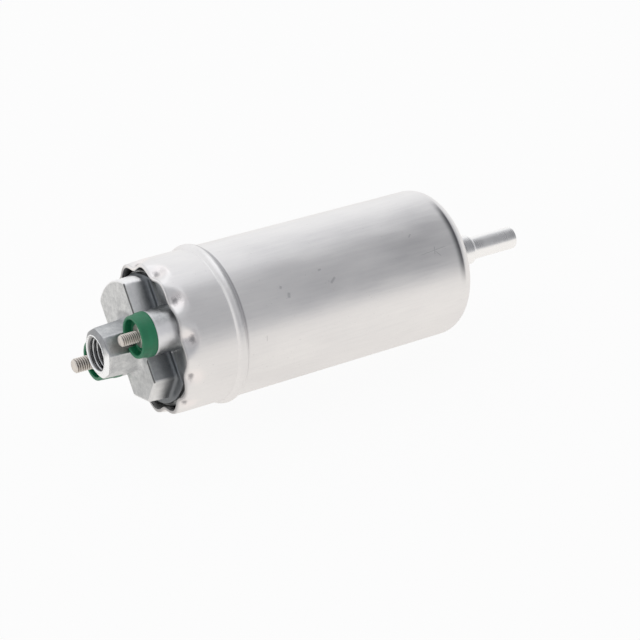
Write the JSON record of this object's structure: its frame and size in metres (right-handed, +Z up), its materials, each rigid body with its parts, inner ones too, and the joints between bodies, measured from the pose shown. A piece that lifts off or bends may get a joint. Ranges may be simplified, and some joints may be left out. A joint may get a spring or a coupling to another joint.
{
  "type": "electric fuel pump",
  "caption": "In-line electric fuel pump: round can, crimped die-cast cap with threaded outlet and terminal studs, straight inlet pipe, motor and rotor pump inside.",
  "frame": {"origin": "on the pump's axis, in the middle of the straight length of the can that a clamp band grips", "axes": "+X along the axis from the outlet cap to the inlet pipe, +Z up, with the cap turned about the axis as pictured"},
  "size_m": [0.1712, 0.0544, 0.0544],
  "materials": {
    "drawn_aluminium": "satin, drawn",
    "cast_aluminium": "die-cast, fine grain",
    "bright_aluminium": "turned, bright",
    "plated_steel": "zinc plated",
    "green_plastic": "moulded, slight gloss",
    "black_rubber": "moulded",
    "brass": "satin",
    "copper": "bare",
    "carbon": "pressed",
    "steel": "bright drawn",
    "sintered_steel": "sintered and ground",
    "bronze": "sintered",
    "ferrite": "fired",
    "valve_plastic": "moulded"
  },
  "bodies": {
    "casing": {"pump_can": "drawn_aluminium", "end_cap": "cast_aluminium", "cap_seal": "black_rubber", "stud_plus": "plated_steel", "stud_minus": "plated_steel", "collar_plus": "green_plastic", "collar_minus": "green_plastic", "stud_seals": "black_rubber", "terminal_tags": "brass", "brush_leads": "copper", "brush_spring_plus": "steel", "brush_spring_minus": "steel", "cap_bush": "bronze", "valve_body": "valve_plastic", "valve_spring": "steel", "valve_cage": "valve_plastic", "yoke_tube": "steel", "magnets": "ferrite", "magnet_clips": "steel", "thrust_washers": "valve_plastic", "pump_bush": "bronze", "base_plate": "cast_aluminium", "pump_ring": "sintered_steel", "inlet_cover": "cast_aluminium", "pump_screws": "steel", "relief_spring": "steel", "relief_plug": "brass", "cover_gasket": "black_rubber", "inlet_nipple": "bright_aluminium", "inlet_strainer": "brass"},
    "armature": {"armature_shaft": "steel", "armature_core": "steel", "armature_windings": "copper", "commutator": "copper", "inner_rotor": "sintered_steel"},
    "outer_rotor": {"outer_rotor": "sintered_steel"},
    "brush_plus": {"brush_plus": "carbon"},
    "brush_minus": {"brush_minus": "carbon"},
    "valve_poppet": {"valve_poppet": "black_rubber"},
    "relief_ball": {"relief_ball": "steel"}
  },
  "joints": [
    {"name": "armature_spin", "type": "hinge", "parent": "casing", "child": "armature", "pos_m": [0, 0, 0], "axis": [1, 0, 0], "continuous": true},
    {"name": "outer_rotor_spin", "type": "hinge", "parent": "casing", "child": "outer_rotor", "pos_m": [0.029, 0, 0.0016], "axis": [1, 0, 0], "continuous": true},
    {"name": "brush_plus_slide", "type": "slide", "parent": "casing", "child": "brush_plus", "axis": [-1, 0, 0], "range_m": [0, 0.003], "stiffness_N_per_m": 120, "deforming": ["brush_spring_plus"]},
    {"name": "brush_minus_slide", "type": "slide", "parent": "casing", "child": "brush_minus", "axis": [-1, 0, 0], "range_m": [0, 0.003], "stiffness_N_per_m": 120, "deforming": ["brush_spring_minus"]},
    {"name": "valve_slide", "type": "slide", "parent": "casing", "child": "valve_poppet", "axis": [-1, 0, 0], "range_m": [0, 0.0018], "stiffness_N_per_m": 200, "deforming": ["valve_spring"]},
    {"name": "relief_slide", "type": "slide", "parent": "casing", "child": "relief_ball", "axis": [1, 0, 0], "range_m": [0, 0.0015], "stiffness_N_per_m": 400, "deforming": ["relief_spring"]}
  ],
  "couplings": [
    {"joint": "outer_rotor_spin", "follows": "armature_spin", "ratio": 0.85714}
  ]
}
